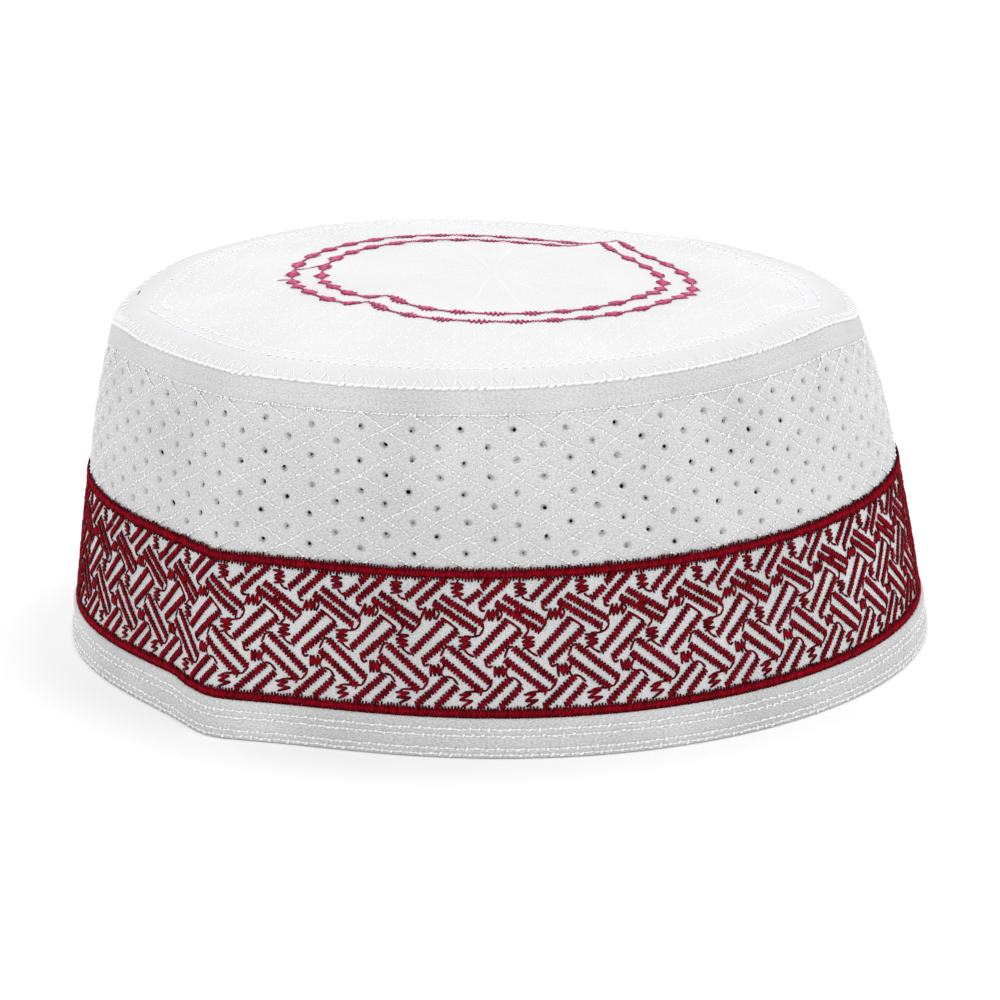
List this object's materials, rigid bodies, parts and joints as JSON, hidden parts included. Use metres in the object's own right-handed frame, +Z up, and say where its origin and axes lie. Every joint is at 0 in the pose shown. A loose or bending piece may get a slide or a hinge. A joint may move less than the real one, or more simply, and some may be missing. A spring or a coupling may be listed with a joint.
{
  "type": "embroidered prayer cap",
  "caption": "White brimless prayer cap with a pierced tapering wall, a red interlaced needlework band, a shallow domed crown and a folded hem.",
  "frame": {"origin": "centre of the foot of the hem, on the surface that the cap rests on", "axes": "+Z up; Y runs along the fold line from crease to crease, -Y to the crease that the picture shows; X runs across the cap"},
  "size_m": [0.1898, 0.1944, 0.0816],
  "materials": {
    "white_hem": "white cotton, several plies with rows of straight stitching",
    "white_wall": "white satin-faced cotton quilted in diamonds, with a punched eyelet in each",
    "white_crown": "white satin-faced cotton quilted in diamonds",
    "red_border": "dark red satin stitch, slightly glossy thread",
    "red_interlace": "dark red serrated satin stitch, slightly glossy thread",
    "pink_thread": "pinkish red satin stitch, slightly glossy thread"
  },
  "bodies": {
    "root": {"hem_band": "white_hem", "side_wall": "white_wall", "crown_panel": "white_crown", "border_lower": "red_border", "border_upper": "red_border", "embroidery_band": "red_interlace", "crown_ring_outer": "pink_thread", "crown_ring_inner": "pink_thread"}
  },
  "joints": []
}
